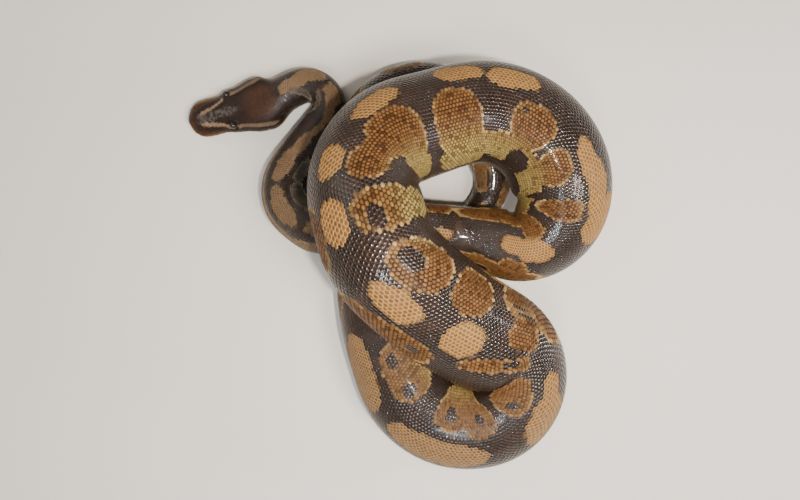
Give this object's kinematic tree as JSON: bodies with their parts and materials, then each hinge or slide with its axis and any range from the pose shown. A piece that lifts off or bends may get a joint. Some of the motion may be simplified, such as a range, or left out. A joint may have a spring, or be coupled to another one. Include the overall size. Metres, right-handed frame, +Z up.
{
  "type": "coiled ball python",
  "caption": "Life-size ball python lying in a loose coil, its body crossing over itself, with the head held out low to one side and the tail tucked beneath.",
  "frame": {"origin": "middle of the bounding box at floor level, under the coil", "axes": "+Z up from the floor; -X is the side the head lies on; the snout points to -X and a little to -Y"},
  "size_m": [0.2609, 0.2539, 0.1048],
  "materials": {
    "head_skin": "semi-gloss scales",
    "body_skin": "semi-gloss scales",
    "eye": "gloss"
  },
  "bodies": {
    "root": {"head": "head_skin", "lower_jaw": "head_skin", "eye_left": "eye", "eye_right": "eye", "neck": "body_skin", "trunk_01": "body_skin", "trunk_02": "body_skin", "trunk_03": "body_skin", "trunk_04": "body_skin", "trunk_05": "body_skin", "trunk_06": "body_skin", "trunk_07": "body_skin", "trunk_08": "body_skin", "trunk_09": "body_skin", "trunk_10": "body_skin", "tail": "body_skin"}
  },
  "joints": []
}
